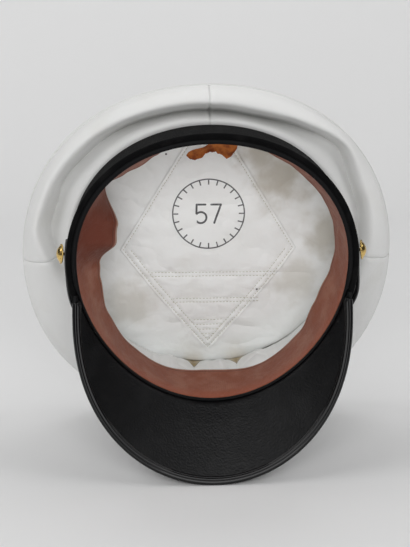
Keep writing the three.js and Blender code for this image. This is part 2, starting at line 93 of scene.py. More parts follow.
def piece(name, worn, faces, uv=None, side=None):
    """A mesh in the frame from places as worn. uv lays its cloth flat, in millimetres, and side says
    how much a place belongs to the first of its two faces."""
    mesh = bpy.data.meshes.new(name)
    mesh.from_pydata(stand(worn).tolist(), [], faces.tolist())
    if uv is not None:
        mesh.uv_layers.new(name="cloth").uv.foreach_set("vector", uv.ravel())
    if side is not None:
        mesh.attributes.new("side", "FLOAT", "POINT").data.foreach_set("value", side.ravel())
    tidy = bmesh.new()
    tidy.from_mesh(mesh)
    bmesh.ops.remove_doubles(tidy, verts=tidy.verts, dist=1e-7)
    bmesh.ops.recalc_face_normals(tidy, faces=tidy.faces)
    tidy.to_mesh(mesh)
    tidy.free()
    mesh.shade_smooth()
    made = bpy.data.objects.new(name, mesh)
    bpy.context.scene.collection.objects.link(made)
    return made


def steps_of(middle, axis):
    """How far along the cloth each row or column lies, as a mean over the piece."""
    lengths = np.linalg.norm(np.diff(middle, axis=axis), axis=-1).mean(1 - axis)
    return np.concatenate([[0], np.cumsum(lengths)])


def skin(name, layers, wide, down, side, ring, hub=False, strips=()):
    """The closed skin of a piece from its layers, which follow each other round its section."""
    count, columns = layers.shape[:2]
    places = (np.arange(count - hub), np.arange(columns if ring else columns - 1))
    row, column = np.meshgrid(*places, indexing="ij")
    below, beside = (row + 1) % count, (column + 1) % columns
    rows = np.stack([row, row, below, below], -1).reshape(-1, 4)
    faces = rows * columns + np.stack([column, beside, beside, column], -1).reshape(-1, 4)
    flat_u = np.stack([column, column + 1, column + 1, column], -1).reshape(-1, 4)
    uv = [np.stack([wide[flat_u], down[rows]], -1)]
    for end, strip in strips:
        faces = np.concatenate([faces, strip * columns + end])
        uv.append(np.stack([np.full(strip.shape, wide[end]), down[strip]], -1))
    return piece(name, layers.reshape(-1, 3), faces, np.concatenate(uv), np.repeat(side, columns))


def shell(name, middle, thickness, ring=False, hub=False, facing=None):
    """A piece of cloth or leather of some thickness about its middle surface, which is given as rows
    of places as worn. Its edges are rounded. A ring closes on itself, and a hub has one centre."""
    rows, columns = middle.shape[:2]
    facing = facing_of(middle, ring) if facing is None else np.broadcast_to(facing, middle.shape)
    half = np.broadcast_to(np.asarray(thickness) / 2, (rows, columns))[..., None]

    def rounded(row, inner):
        away = middle[row] - middle[inner]
        away = away / np.maximum(np.linalg.norm(away, axis=-1, keepdims=True), 1e-9)
        turns = EDGE_TURNS[:, None, None]
        return middle[row] + half[row] * (facing[row] * np.cos(turns) + away * np.sin(turns))

    lengths, beyond = steps_of(middle, 0), EDGE_TURNS * half.mean()
    fade = (1 + np.cos(EDGE_TURNS)) / 2
    layers = [middle + facing * half, rounded(-1, -2), (middle - facing * half)[::-1]]
    down = [lengths, lengths[-1] + beyond, lengths[::-1]]
    side = [np.ones(rows), fade, np.zeros(rows)]
    if not hub:
        layers.append(rounded(0, 1)[::-1])
        down.append(-beyond[::-1])
        side.append(fade[::-1])
    layers, down, side = (np.concatenate(parts) for parts in (layers, down, side))
    wide = steps_of(np.concatenate([middle, middle[:, :1]], 1) if ring else middle, 1)
    strips = []
    if not (ring or hub):
        loop = (np.arange(len(layers)) - len(EDGE_TURNS) // 2) % len(layers)
        first, last = loop[: len(loop) // 2], loop[::-1][: len(loop) // 2]
        strip = np.stack([first[:-1], first[1:], last[1:], last[:-1]], -1)
        strips = [(0, strip), (columns - 1, strip)]
    return skin(name, layers, wide, down, side, ring, hub, strips)


class Value:
    """A number that changes over a surface. Python's operators on it add Math nodes."""

    def __init__(self, finish, socket):
        self.finish = finish
        self.socket = socket

    def math(self, operation, *others, clamp=False):
        settings = {"operation": operation, "use_clamp": clamp}
        return self.finish.node("Math", settings, dict(enumerate((self, *others))))

    def __add__(self, other):
        return self.math("ADD", other)

    def __sub__(self, other):
        return self.math("SUBTRACT", other)

    def __rsub__(self, other):
        return self.finish.node("Math", {"operation": "SUBTRACT"}, {0: other, 1: self})

    def __mul__(self, other):
        return self.math("MULTIPLY", other)

    def __pow__(self, power):
        return self.math("POWER", power)

    def __abs__(self):
        return self.math("ABSOLUTE")

    __radd__ = __add__
    __rmul__ = __mul__

    def step(self, low, high):
        """0 at low and beyond, 1 at high and beyond, and a soft change between them."""
        ends = {"Value": self, "From Min": low, "From Max": high}
        return self.finish.node("MapRange", {"interpolation_type": "SMOOTHSTEP"}, ends)

    def wave(self, pitch):
        """Even ridges from -1 to 1, one to each pitch."""
        return (self * (2 * np.pi / pitch)).math("SINE")


class Finish:
    """A material made of nodes round one Principled surface."""

    def __init__(self, name, sockets):
        self.material = bpy.data.materials.new(name)
        self.material.use_nodes = True
        self.tree = self.material.node_tree
        self.surface = self.tree.nodes["Principled BSDF"]
        self.set(**sockets)

    def set(self, **sockets):
        """Feeds the surface's own sockets, named with _ for each space."""
        for name, value in sockets.items():
            self.feed(self.surface.inputs[name.replace("_", " ")], value)

    def feed(self, socket, value):
        if isinstance(value, Value):
            self.tree.links.new(value.socket, socket)
        elif socket.type == "RGBA":
            socket.default_value = (*value, 1)
        else:
            socket.default_value = value

    def node(self, kind, settings=None, inputs=None, output=0):
        """Adds one node of a kind, with its settings, then the values or links of its sockets."""
        node = self.tree.nodes.new("ShaderNode" + kind)
        for name, value in (settings or {}).items():
            setattr(node, name, value)
        for name, value in (inputs or {}).items():
            self.feed(self.socket(node.inputs, name), value)
        return Value(self, self.socket(node.outputs, output))

    @staticmethod
    def socket(sockets, name):
        if isinstance(name, int):
            return sockets[name]
        return next(socket for socket in sockets if socket.name == name and socket.enabled)

    def parts(self, vector):
        """The three numbers of a vector."""
        split = self.node("SeparateXYZ", None, {"Vector": vector}).socket.node
        return [Value(self, socket) for socket in split.outputs]

    def place(self, stretch=(1, 1, 1)):
        """The place in the row frame, in millimetres, each way stretched."""
        scale = {0: self.node("TexCoord", output="Object"), 1: tuple(1000 * way for way in stretch)}
        return self.node("VectorMath", {"operation": "MULTIPLY"}, scale)

    def worn(self):
        """x, y and z on the cap as worn, in millimetres."""
        x, y, z = self.parts(self.place())
        return 0 - x, z - MOUTH_Z, y - MOUTH_Y

    def cloth(self):
        """How far along and across the flat cloth a place lies, in millimetres."""
        return self.parts(self.node("UVMap", {"uv_map": "cloth"}))[:2]

    def side(self):
        return self.node("Attribute", {"attribute_name": "side"}, output="Fac")

    def noise(self, size, detail=2, stretch=(1, 1, 1)):
        """Cloudy noise round 0.5, with clouds about that many millimetres wide."""
        inputs = {"Vector": self.place(stretch), "Scale": 1 / size, "Detail": detail}
        return self.node("TexNoise", None, inputs)

    def mix(self, amount, first, second):
        """One colour turning into another."""
        colours = {"Factor": amount, "A": first, "B": second}
        return self.node("Mix", {"data_type": "RGBA"}, colours, "Result")

    def relief(self, height):
        """Fine relief, from its height in millimetres."""
        self.set(Normal=self.node("Bump", None, {"Height": height, "Distance": 0.001}))


angle, share = grid(360, 13)
up = BAND["low"] + (BAND["height"] - BAND["low"]) * share
radius = outline(HEAD, angle) + BAND["out"] - BAND["lean"] * up / BAND["height"]
band = shell("head_band", around(radius, angle, up), BAND["thickness"], ring=True)

ribbed = Finish("black ribbed cloth", {"Roughness": 0.85, "Specular_IOR_Level": 0.06, "Sheen_Weight": 0.02})
along, across = ribbed.cloth()
worn_patches = ribbed.noise(9, 4).step(0.45, 0.75)
ribbed.set(Base_Color=ribbed.mix(worn_patches, (0.003, 0.003, 0.0033), (0.007, 0.0068, 0.007)))
ribbed.relief(along.wave(0.9) * 0.05 + across.wave(0.6) * 0.02 + ribbed.noise(0.8) * 0.06)
band.data.materials.append(ribbed.material)
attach(band, "root")
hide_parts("band")

# ---- rolled edges ----
# The lower edge of the band is finished with two rolls side by side: one of cloth outside, and one
# of thin black leather inside, which is sewn through and thins out where the peak takes its room.

WELT = {"out": 4.75, "up": 0.9, "wide": 1.95, "high": 1.6}
EDGE = {"up": 0.9, "back": 1.8, "front": 0.8, "inward": 0.6, "angle": 78, "taper": 12, "high": 1.6}


def bumps(places, size, seed):
    """Smooth random heights from -1 to 1 over places, with bumps about that many millimetres wide."""
    lattice = np.random.default_rng(seed).uniform(-1, 1, (32, 32, 32))
    cell, share = np.divmod(np.asarray(places) / size, 1)
    share = share * share * (3 - 2 * share)
    height = 0
    for corner in itertools.product((0, 1), repeat=3):
        weight = np.prod(np.where(corner, share, 1 - share), -1)
        at = np.moveaxis((cell.astype(int) + corner) % 32, -1, 0)
        height = height + weight * lattice[tuple(at)]
    return height


def soft_step(value, low, high):
    """0 below low, 1 above high and a soft change between them."""
    share = np.clip((value - low) / (high - low), 0, 1)
    return share * share * (3 - 2 * share)


def roll(name, angle, centre, wide, high, turns=18):
    """A round cord or rolled edge all round the cap, of some half width and half height."""
    section = np.linspace(0, 2 * np.pi, turns, endpoint=False)[:, None, None]
    outward = around(1, angle, 0) * np.asarray(wide)[..., None]
    layers = centre + outward * np.cos(section) + np.array([0, 0, 1]) * high * np.sin(section)
    along = steps_of(np.concatenate([centre, centre[:, :1]], 1), 1)
    return skin(name, layers, along, section.ravel() * high, np.ones(turns), ring=True)


angle, _ = grid(480, 1)
centre = around(outline(HEAD, angle) + WELT["out"], angle, WELT["up"])
welt = roll("band_welt_roll", angle, centre, WELT["wide"] + 0.06 * bumps(centre, 9, 2), WELT["high"])
welt.data.materials.append(ribbed.material)
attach(welt, "root")
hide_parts("band_welt")

past = soft_step(np.abs(np.degrees(angle)), EDGE["angle"], EDGE["angle"] + EDGE["taper"])
wide = EDGE["front"] + (EDGE["back"] - EDGE["front"]) * past
centre = around(outline(HEAD, angle) + wide - EDGE["inward"] * past, angle, EDGE["up"])
binding = roll("edge_binding_roll", angle, centre, wide + 0.05 * bumps(centre, 5, 3), EDGE["high"])

edge_leather = Finish("black edge leather", {"Specular_IOR_Level": 0.1, "Base_Color": (0.006, 0.006, 0.0065)})
along, _ = edge_leather.cloth()
puckers = edge_leather.noise(1.6, 3) * 0.12 + along.wave(3.1) * 0.03
edge_leather.set(Roughness=edge_leather.noise(6, 3) * 0.3 + 0.45)
edge_leather.relief(puckers)
binding.data.materials.append(edge_leather.material)
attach(binding, "root")
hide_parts("edge_binding")

# ---- crown sides ----
# Four quarters of white cotton, seamed at front, back and sides, hang from the wired rim of the
# crown and run in to the band. At the front they stand up full; round the back and sides the slack
# cloth drops over the band in a fold, with a kink wherever it is creased.

RIM = {"radius": 131.3, "waves": [(1, 1.2), (2, -1.0), (4, -1.4)], "centre": -12, "height": 76, "slope": 0.16}
CLOTH = {"thickness": 1.2, "seat": 3.5, "seat_gap": 1.1, "below_rim": 1.6, "inset": 0.4}
SEAM = {"gap": 0.02, "groove": 1.3, "deep": 0.55, "pucker": 9.0}
RIDGE = {"high": 0.22, "from_seam": 2.6, "wide": 1.5}
SOFTNESS = 1.5


def table(names, *rows):
    """A short table as one array for each of its named columns."""
    return dict(zip(names.split(), np.array(rows, float).T))


# The slack cloth comes out from the band to a ledge, dives in to a crease and comes forward again to
# a lip, from where it swells up to the rim. By angle from the front: how far out and up from the
# band's edge the ledge lies, where the crease is, and how far the lip leans out and hangs from it.
CREASE_WIDTH = 1.8
SOFTENED = (-5.0, -3.0, -1.0, 1.0, 3.0, 5.0)
FOLDS = table(
    "angle ledge rise out up lean hang swell",
    (-180, 4.2, 0.8, 7.4, 51.5, 7.5, 13.0, 2.5),
    (-160, 4.0, 0.8, 6.8, 52.0, 7.5, 13.0, 2.5),
    (-148, 4.5, 1.0, 11.2, 53.0, 7.5, 13.0, 2.5),
    (-141, 4.8, 1.2, 14.0, 53.5, 7.0, 13.0, 2.5),
    (-136, 5.0, 1.5, 19.5, 55.0, 6.5, 13.0, 2.5),
    (-129, 5.0, 1.5, 17.5, 56.0, 6.0, 13.0, 2.5),
    (-120, 4.5, 1.0, 11.5, 54.0, 8.0, 9.0, 3.5),
    (-110, 4.0, 1.5, 12.0, 54.0, 8.5, 9.0, 3.5),
    (-100, 3.2, 2.2, 10.5, 53.0, 8.0, 8.0, 3.8),
    (-90, 3.5, 3.0, 9.5, 53.0, 8.0, 5.0, 4.0),
    (-76, 5.0, 7.0, 8.5, 55.0, 9.0, 1.0, 3.2),
    (-62, 6.0, 11.0, 12.0, 55.0, 10.0, -6.0, 3.5),
    (0, 6.0, 13.0, 12.0, 58.0, 10.0, -9.0, 3.5),
    (62, 5.0, 10.5, 10.0, 54.0, 10.0, -6.0, 3.5),
    (78, 5.0, 8.0, 6.0, 55.0, 9.0, 0.0, 3.0),
    (90, 4.0, 3.0, 11.0, 55.5, 8.0, 7.0, 2.5),
    (97, 4.2, 2.0, 15.0, 56.5, 9.0, 10.0, 2.2),
    (104, 4.5, 1.5, 17.0, 57.5, 9.5, 12.0, 2.0),
    (111, 4.5, 1.0, 13.0, 57.5, 10.5, 13.0, 2.0),
    (119, 4.5, 1.0, 16.5, 56.5, 7.0, 13.5, 2.0),
    (130, 4.5, 1.5, 12.0, 55.0, 9.5, 13.5, 2.5),
    (144, 5.0, 1.5, 11.4, 54.0, 8.0, 13.5, 2.5),
    (158, 4.5, 0.8, 8.8, 52.0, 8.0, 13.0, 2.5),
    (170, 4.5, 0.8, 8.4, 51.5, 7.5, 13.0, 2.5),
    (180, 4.2, 0.8, 7.4, 51.5, 7.5, 13.0, 2.5),
)


def rim_place(angle, inset=0.0, lift=0.0):
    """A place on the sloping rim of the crown."""
    place = around(outline(RIM, angle) - inset, angle, 0, RIM["centre"])
    place[..., 2] = RIM["height"] - RIM["slope"] * place[..., 1] + lift
    return place


def smooth_curve(knots, share):
    """Places by share along smooth curves through rows of knots."""
    last = len(knots) - 1
    at = np.minimum(share[:, 0] * last, last - 1e-9)
    first = at.astype(int)
    t = (at - first)[:, None, None]
    before, near, far, after = (knots[np.clip(first + k, 0, last)] for k in (-1, 0, 1, 2))
    leave, arrive = (far - before) / 2, (after - near) / 2
    bend = (3 * far - 3 * near - 2 * leave - arrive) * t**2
    return (2 * near - 2 * far + leave + arrive) * t**3 + bend + leave * t + near


def settle(place, half):
    """Soft cloth bends flat where it rests, half its thickness above the floor."""
    lowest = half - MOUTH_Z
    place[..., 1] = lowest + SOFTNESS * np.logaddexp(0, (place[..., 1] - lowest) / SOFTNESS)
    return place


def fold(name, degrees):
    """A column of the folds by angle, with its kinks softened over a few degrees to either side."""
    near = [np.interp(degrees + off, FOLDS["angle"], FOLDS[name]) for off in SOFTENED]
    return sum(near)[:, None] / len(near)


def crown_side(angle, share):
    """The cloth of the crown's side: out from the band, in to the crease and over the roll to the rim."""
    turn = angle[0]
    ledge, rise, out, up, lean, hang, swell = (fold(name, np.degrees(turn)) for name in list(FOLDS)[1:])
    rim = rim_place(turn, CLOTH["inset"], -CLOTH["below_rim"])
    seat = outline(HEAD, turn)[:, None] + CLOTH["seat"]
    start = np.concatenate([seat, np.full_like(seat, BAND["height"] + CLOTH["seat_gap"])], -1)
    end = np.stack([np.hypot(rim[:, 0], rim[:, 1]), rim[:, 2]], -1)
    shoulder = start + np.concatenate([ledge, rise], -1)
    crease = np.concatenate([seat + out, up], -1)
    half = np.array([CREASE_WIDTH / 2, 0])
    lip = crease + np.concatenate([lean, -hang], -1)
    belly = (lip + end) / 2 + np.array([0.8, -0.6]) * swell
    spot = smooth_curve(np.stack([start, shoulder, crease - half, crease + half, lip, belly, end]), share)
    heading = np.arctan2(rim[:, 0], -rim[:, 1])
    wrap = np.pi * 2 * np.round((turn - heading) / (2 * np.pi))
    turned = turn + (heading + wrap - turn) * (spot[..., 0] - seat[:, 0]) / (end - seat)[:, 0]
    return around(spot[..., 0], turned, spot[..., 1])


def bell(away, width):
    """1 where away is 0, and smoothly down to nothing on both sides."""
    return np.exp(-((away / width) ** 2))


def seamed(middle, facing):
    """Cloth with both side edges drawn in at a seam, and small puckers along it."""
    wide = steps_of(middle, 1)[None, :]
    near = np.minimum(wide, wide[:, -1:] - wide)
    along = steps_of(middle, 0)[:, None]
    draw = -SEAM["deep"] * bell(near, SEAM["groove"])
    puckers = 1 + 0.5 * np.sin(2 * np.pi * along / SEAM["pucker"])
    ridge = RIDGE["high"] * bell(near - RIDGE["from_seam"], RIDGE["wide"]) * puckers
    return middle + facing * (draw + ridge)[..., None]


def white_cotton(name):
    """White cotton, soiled a little in clouds, as a finish and its tint."""
    finish = Finish(name, {"Sheen_Weight": 0.15, "Sheen_Roughness": 0.6})
    along, across = finish.cloth()
    soiled = finish.noise(34, 4).step(0.52, 0.72) * 0.6
    tint = finish.mix(soiled, (0.80, 0.80, 0.79), (0.75, 0.745, 0.72))
    finish.set(Base_Color=tint, Roughness=finish.noise(4) * 0.12 + 0.72)
    weave = along.wave(0.75) * across.wave(0.75) * 0.018
    finish.relief(weave + finish.noise(2.2, 3) * 0.09 + finish.noise(9, 2) * 0.22)
    return finish, tint


creased, tint = white_cotton("creased cotton")
_, across = creased.cloth()
_, y, z = creased.worn()
# Painted shade, together with some real greying of the cloth, darkens the strip and crease under the lip,
# most of all at the back.
crease_shade_and_greying = across.step(36, 27) * z.step(37.5, 51) * y.step(-25, 5) * (y.step(76, 98) * 0.62 + 0.26)
# Painted shade darkens the cloth next to the band.
tint = creased.mix(across.step(14, 3) * 0.3, tint, (0.55, 0.55, 0.54))
creased.set(Base_Color=creased.mix(crease_shade_and_greying, tint, (0.40, 0.40, 0.385)))

for name, start, end in (
    ("front_left", 0, 90),
    ("back_left", 90, 180),
    ("front_right", -90, 0),
    ("back_right", -180, -90),
):
    angle, share = grid(141, 74, start + SEAM["gap"], end - SEAM["gap"])
    middle = crown_side(angle, share)
    facing = facing_of(middle)
    loose = np.sin(np.pi * share)[..., None]
    ease = 0.55 * bumps(middle, 26, 5) + 0.28 * bumps(middle, 11, 6) + 0.1 * bumps(middle, 5, 7)
    middle = middle + facing * ease[..., None] * loose
    middle = settle(seamed(middle, facing), CLOTH["thickness"] / 2)
    quarter = shell(f"crown_{name}", middle, CLOTH["thickness"])
    quarter.data.materials.append(creased.material)
    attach(quarter, "root")
    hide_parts(f"crown_side_{name}")

# ---- crown top ----
# One round of the same cotton, sewn to the sides at the rim and drawn fairly flat by the wire in
# it. It dips a little in the middle, with slack ripples running in from the seam.

TOP = {"shoulder": 4, "dish": 4, "lift": 1.9, "thickness": 1.2}

cotton, _ = white_cotton("white cotton")
angle, share = grid(440, 48)
rim = rim_place(angle, CLOTH["inset"])
centre = np.array([0, RIM["centre"], 0])
middle = centre + (rim - centre) * share[..., None]
arch = TOP["shoulder"] * (1 - share**8) - TOP["dish"] * (1 - share**2) ** 2
slack = 1.1 * bumps(middle, 45, 8) + 0.5 * bumps(middle, 16, 9)
gather = 0.6 * np.sin(37 * angle + 3 * np.sin(5 * angle)) * (1 + 0.6 * bumps(rim, 30, 31))
gather = gather * share**6 * (1 - share**16)
middle[..., 2] = RIM["height"] - RIM["slope"] * middle[..., 1] + TOP["lift"] + arch
middle[..., 2] += slack * (0.3 + 0.7 * share) * (1 - share**8) * 1.9 + gather
middle = settle(middle, TOP["thickness"] / 2)
top = shell("crown_round", middle, TOP["thickness"], ring=True, hub=True, facing=(0, 0, 1))
top.data.materials.append(cotton.material)
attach(top, "root")
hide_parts("crown_top")

# ---- crown piping ----
# A thin cord covered in the white cotton runs in the rim seam, drawn in a little at every few
# stitches.

PIPING = {"radius": 1.0}

angle, _ = grid(720, 1)
centre = settle(rim_place(angle), PIPING["radius"])
thick = PIPING["radius"] * (1 + 0.03 * np.sin(angle * 280) + 0.03 * bumps(centre, 12, 10))
piping = roll("rim_piping", angle, centre, thick, PIPING["radius"], turns=14)
covering, tint = white_cotton("piping cotton")
covering.set(Base_Color=covering.mix(0.4, tint, (0.60, 0.60, 0.58)))
piping.data.materials.append(covering.material)
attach(piping, "root")
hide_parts("crown_piping")

# ---- lining ----
# Off-white satin: a round under the crown top, which bags down to the front, and a gathered strip
# that joins it to the band behind the sweatband. Sweat has stained it yellow at the back and one
# side. Painted shade darkens it in blotches over its folds, in a line along the seam and in the tucks.

LINING = {"foot": 33, "foot_out": 1.5, "seam": 92.5, "centre": -1.5, "height": 62, "thickness": 0.7}
RISE = {"front": 17, "from": 10, "reach": 84, "back": 7, "side": 4}
PUFFS = {"count": 18, "deep": 5.5, "ripple": 0.5, "proud": 0.3}
TUCK_TURN = np.radians(6.8)
TUCK = {"seam": 78.0, "drop": 19.0}
SPECKS = [(29.3, 68.5), (-34.6, -32.1)]


def lining_height(x, y):
    """The lining rises to the front, falls to the back and lifts a little to the sides."""
    front = np.maximum(0, (-y - RISE["from"]) / RISE["reach"])
    back = np.maximum(0, y / RISE["reach"])
    side = x / RISE["reach"]
    return LINING["height"] + RISE["front"] * front**2 - RISE["back"] * back**2 + RISE["side"] * side**2


def slack_satin(x, y):
    """Soft folds of the satin under the crown."""
    flat = np.stack([x, y, np.zeros_like(x)], -1)
    long_folds = bumps(flat * [0.45, 1.0, 1], 17, 11)
    ridges = 1 - np.abs(bumps(flat * [0.6, 1.0, 1], 15, 14)) * 2.2
    return 0.9 * bumps(flat, 30, 12) + 0.9 * long_folds + 0.25 * bumps(flat, 7, 13) + 0.35 * ridges


def apart(x, y, spot):
    """How far a place of a finish lies from a spot, both given across the cap."""
    return ((x - spot[0]) ** 2 + (y - spot[1]) ** 2) ** 0.5


def satin(name):
    """Off-white satin, stained yellow in clouds at the back and along one side of the crown, with painted
    shade over folds and along the seam.
    """
    finish = Finish(name, {"Sheen_Weight": 0.15, "Sheen_Roughness": 0.4})
    x, y, _ = finish.worn()

    # A ragged blotch: some are yellow sweat stains, some are painted fold shade.
    def blotch(centre, size, ragged):
        away = apart(x, y, centre) * (1 / size)
        return (away + finish.noise(ragged, 3) * 1.3 - 0.65).step(1.1, 0.2)

    # Yellow sweat stains at the back and one side. The blotch at (-50, 50) also stands for the shade of a
    # fold, and the two weaker ones towards the front are only painted fold shade.
    stains_and_fold_shade = blotch((-50, 50), 26, 14).math("MAXIMUM", blotch((-36, 72), 22, 12))
    painted_fold_shade = blotch((56, -42), 26, 14).math("MAXIMUM", blotch((-62, -26), 24, 12)) * 0.55
    stains_and_fold_shade = stains_and_fold_shade.math("MAXIMUM", blotch((-85, 6), 23, 12) * 0.8).math("MAXIMUM", painted_fold_shade) * 0.75
    tint = finish.mix(finish.noise(30, 3).step(0.5, 0.8) * 0.5, (0.95, 0.965, 0.955), (0.87, 0.88, 0.84))
    tint = finish.mix(stains_and_fold_shade, tint, (0.50, 0.455, 0.365))
    # A painted shadow along the seam, where the round overhangs the strip; strongest at the front and fading
    # out on the wearer's left.
    seam = abs((x**2 + (y - LINING["centre"]) ** 2) ** 0.5 - LINING["seam"] + 0.4).step(1.5, 0.3)
    seam = seam * (y.step(-66, -84) * 0.8 + 0.2) * x.step(26, 12)
    seam = seam * (1 - x.step(-12, -17) * x.step(-33, -28) * 0.7)
    specks = [apart(x, y, speck) for speck in SPECKS]
    tint = finish.mix(seam * 0.85, tint, (0.115, 0.095, 0.055))
    tint = finish.mix(specks[0].math("MINIMUM", specks[1]).step(1.0, 0.4), tint, (0.09, 0.085, 0.08))
    finish.set(Base_Color=tint, Roughness=finish.noise(5) * 0.15 + 0.36)
    _, across = finish.cloth()
    puffs = abs(finish.noise(21, 1, (0.7, 1, 1)) - 0.5) * 6 + abs(finish.noise(10, 1) - 0.5) * 0.9
    finish.relief(puffs + across.wave(0.5) * 0.006 + finish.noise(5, 2) * 0.25)
    return finish, tint


lining_satin, _ = satin("off-white satin")
angle, share = grid(400, 72)
middle = around((LINING["seam"] - 0.6) * share, angle, 0.0)
middle[..., 1] += LINING["centre"] * share
x, y = middle[..., 0], middle[..., 1]
middle[..., 2] = lining_height(x, y) + slack_satin(x, y) * (1 - share**6)
lining_round = shell("lining_round", middle, LINING["thickness"], ring=True, hub=True, facing=(0, 0, -1))
lining_round.data.materials.append(lining_satin.material)
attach(lining_round, "root")
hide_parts("lining_top")

angle, share = grid(600, 26)
foot = around(outline(HEAD, angle) + LINING["foot_out"], angle, LINING["foot"])
seam = around(LINING["seam"] + 0.3, angle, 0.0, LINING["centre"])
seam[..., 2] = lining_height(seam[..., 0], seam[..., 1]) - 0.3
middle = foot + (seam - foot) * share[..., None] ** 2
middle[..., 2] = foot[..., 2] + (seam[..., 2] - foot[..., 2]) * share
front = soft_step(-np.cos(angle), -0.2, -0.9)
folds = np.sin(34 * angle + 4 * np.sin(3 * angle)) + 0.6 * np.sin(57 * angle + 1.3)
baggy = soft_step(-np.cos(angle), -0.75, -0.95)
puffed = np.abs(np.sin(PUFFS["count"] / 2 * (angle - TUCK_TURN))) ** 0.7 * baggy
inward = -around(1, angle, 0.0)
bulge = PUFFS["ripple"] * front * folds + PUFFS["deep"] * puffed
middle = middle + inward * (PUFFS["proud"] + np.sin(np.pi * share) * bulge)[..., None]
lining_strip = shell("lining_strip", middle, LINING["thickness"], ring=True)

gathered, tint = satin("gathered satin")
x, y, z = gathered.worn()
turn = x.math("ARCTAN2", 0 - y) - float(TUCK_TURN)
tuck = abs((turn * (PUFFS["count"] / 2)).math("SINE")).step(0.85, 0.0)
above = z + tuck * TUCK["drop"] - TUCK["seam"]
inside = tuck.step(0.01, 0.08) * y.step(-79, -83) * x.step(-44, -38) * x.step(28, 22)
# Painted shade fills each tuck of the gathers at the front: warm shade above a V that dips from the seam, and
# a painted shadow line along the V.
tint = gathered.mix(above.step(-0.6, 1.6) * inside * (tuck * 0.4 + 0.55), tint, (0.36, 0.25, 0.08))
tint = gathered.mix(abs(above).step(1.4, 0.3) * inside * 0.8, tint, (0.115, 0.095, 0.055))
gathered.set(Base_Color=tint)
lining_strip.data.materials.append(gathered.material)
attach(lining_strip, "root")
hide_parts("lining_side")

# ---- lining patch ----
# A diamond of the same satin sewn under the lining, its upper corner lost under the sweatband. Rows
# of small stitches hold its edges and quilt its lower half, and pucker the satin. The head size is
# printed on it in black ink, in a plain ticked ring.

PATCH = {"half_width": 62.3, "waist": -2, "low": -PATCH_FRONT, "high": 80, "apex": 102, "corner": 1.5}
LAID = {"below": 1.35, "thickness": 0.35, "groove": 0.5, "puff": 0.9}
STITCH = {"pitch": 2.4, "length": 1.7, "thick": 0.45}
MARK = {"centre": (0, 25), "ring": 25, "ticks": 24, "tick": 3.4}
PEN = {"fine": 0.38, "bold": 0.62, "bleed": 0.22, "core": 0.08}

# How far each corner of the diamond moves in for each millimetre that its edges do.
INWARD = {"side": 1.28, "low": 1.6, "apex": 1.9}


def diamond(inset):
    """The corners of the diamond, a little way inside its edges, from its waist round its low end."""
    wide = PATCH["half_width"] - INWARD["side"] * inset
    low, apex = PATCH["low"] + INWARD["low"] * inset, PATCH["apex"] - INWARD["apex"] * inset
    top = PATCH["high"]
    share = (apex - top) / (apex - PATCH["waist"])
    upper = [(-wide * share, top), (-wide, PATCH["waist"])]
    return upper + [(0, low)] + [(-x, y) for x, y in upper[::-1]]


ROWS = [diamond(2.0), diamond(6.0)[1:4]]
ROWS += [[(41, y), (-49, y)] for y in (-18.6, -21.4)]
ROWS += [[(26, y), (-37, y)] for y in (-38.8, -41.6)]
ROWS += [[(wide, y), (-wide, y)] for wide, y in ((11, -56), (9, -60), (7, -64), (5, -68))]


def away_from(route, x, y):
    """How far places lie from a route of straight runs."""
    nearest = np.full(np.shape(x), np.inf)
    for (x0, y0), (x1, y1) in zip(route[:-1], route[1:]):
        run = np.array([x1 - x0, y1 - y0], float)
        at = np.clip(((x - x0) * run[0] + (y - y0) * run[1]) / (run @ run), 0, 1)
        nearest = np.minimum(nearest, np.hypot(x - x0 - at * run[0], y - y0 - at * run[1]))
    return nearest


def laid_height(x, y):
    """The middle of the patch: a little under the lining, drawn up to it along the stitches."""
    share = np.minimum(np.hypot(x, y) / LINING["seam"], 1)
    lining = lining_height(x, y) + slack_satin(x, y) * (1 - share**6)
    away = np.min([away_from(route, x, y) for route in ROWS], axis=0)
    flat = np.stack([x, y, np.zeros_like(x)], -1)
    pucker = bumps(flat * [1, 1.6, 1], 4.5, 21) * bell(away, 5)
    drawn = LAID["groove"] * bell(away, 0.9)
    puffed = LAID["puff"] * (1 - bell(away, 6)) * (0.6 + 0.4 * bumps(flat, 14, 22))
    return lining - LAID["below"] + drawn - puffed + 0.55 * pucker


along = np.linspace(PATCH["low"], PATCH["high"], 170)[:, None]
below_waist = (along - PATCH["low"]) / (PATCH["waist"] - PATCH["low"])
above_waist = (PATCH["apex"] - along) / (PATCH["apex"] - PATCH["waist"])
half = np.maximum(PATCH["corner"], PATCH["half_width"] * np.minimum(below_waist, above_waist))
x = half * np.linspace(-1, 1, 112)[None, :]
y = np.broadcast_to(along, x.shape)
middle = np.stack([x, y, laid_height(x, y)], -1)
patch = shell("lining_diamond", middle, LAID["thickness"], facing=(0, 0, -1))

printed, tint = satin("printed satin")
x, y, _ = printed.worn()
right, above = MARK["centre"][0] - x, y - MARK["centre"][1]
away = (right**2 + above**2) ** 0.5


def line(distance, half_width=PEN["fine"]):
    """Ink where a distance is under half the width of a pen."""
    return distance.step(half_width + PEN["bleed"], half_width - PEN["core"])


def stroke(start, end):
    """How far a place lies from a straight stroke of the pen."""
    run = (end[0] - start[0], end[1] - start[1])
    size = run[0] ** 2 + run[1] ** 2
    reach = (right - start[0]) * (run[0] / size) + (above - start[1]) * (run[1] / size)
    reach = reach.math("ADD", 0, clamp=True)
    return ((right - start[0] - reach * run[0]) ** 2 + (above - start[1] - reach * run[1]) ** 2) ** 0.5


